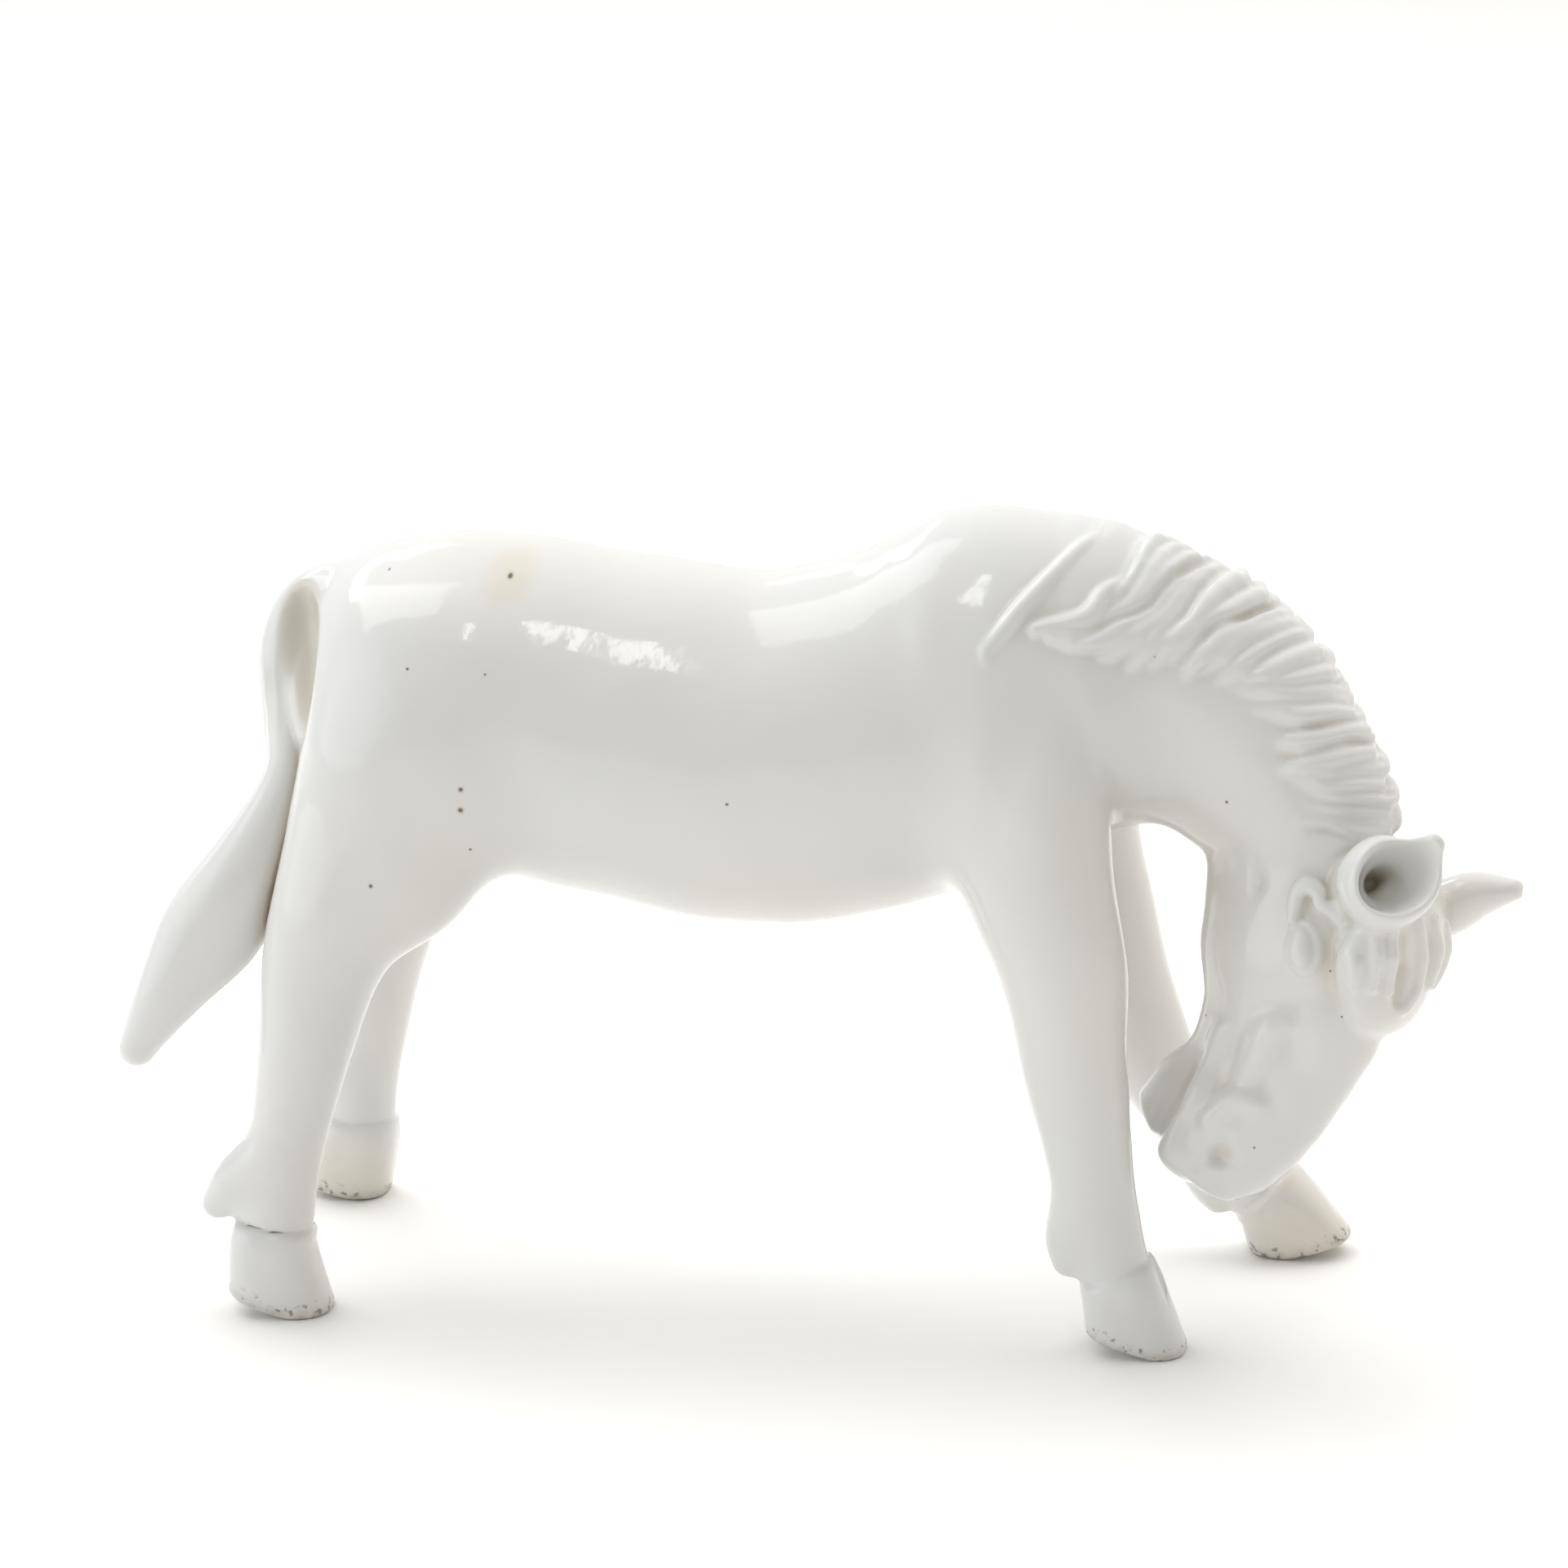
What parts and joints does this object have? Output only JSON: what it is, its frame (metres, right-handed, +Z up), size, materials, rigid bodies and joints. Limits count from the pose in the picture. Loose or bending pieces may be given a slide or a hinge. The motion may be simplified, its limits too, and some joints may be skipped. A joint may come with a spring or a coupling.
{
  "type": "porcelain horse figurine",
  "caption": "Small white glazed porcelain horse that stands on its hooves with its neck arched down and its head turned, with a combed mane, cupped ears and a swept tail.",
  "frame": {"origin": "on the table, under the middle of the outline", "axes": "+X towards the breast and the lowered head, +Y to the horse's own left, +Z up from the table"},
  "size_m": [0.1286, 0.0398, 0.0754],
  "materials": {
    "clear_glaze": "clear glossy glaze over white porcelain, with fine iron specks",
    "worn_glaze": "glossy glaze over white porcelain, worn bare and grey along the edge of the sole"
  },
  "bodies": {
    "root": {"trunk_right_half": "clear_glaze", "trunk_left_half": "clear_glaze", "neck": "clear_glaze", "head": "clear_glaze", "forelock": "clear_glaze", "mane": "clear_glaze", "tail": "clear_glaze", "ear_right": "clear_glaze", "ear_left": "clear_glaze", "eye_right": "clear_glaze", "eye_left": "clear_glaze", "brow_right": "clear_glaze", "brow_left": "clear_glaze", "foreleg_right": "clear_glaze", "foreleg_left": "clear_glaze", "hindleg_right": "clear_glaze", "hindleg_left": "clear_glaze", "hoof_fore_right": "worn_glaze", "hoof_fore_left": "worn_glaze", "hoof_hind_right": "worn_glaze", "hoof_hind_left": "worn_glaze"}
  },
  "joints": []
}
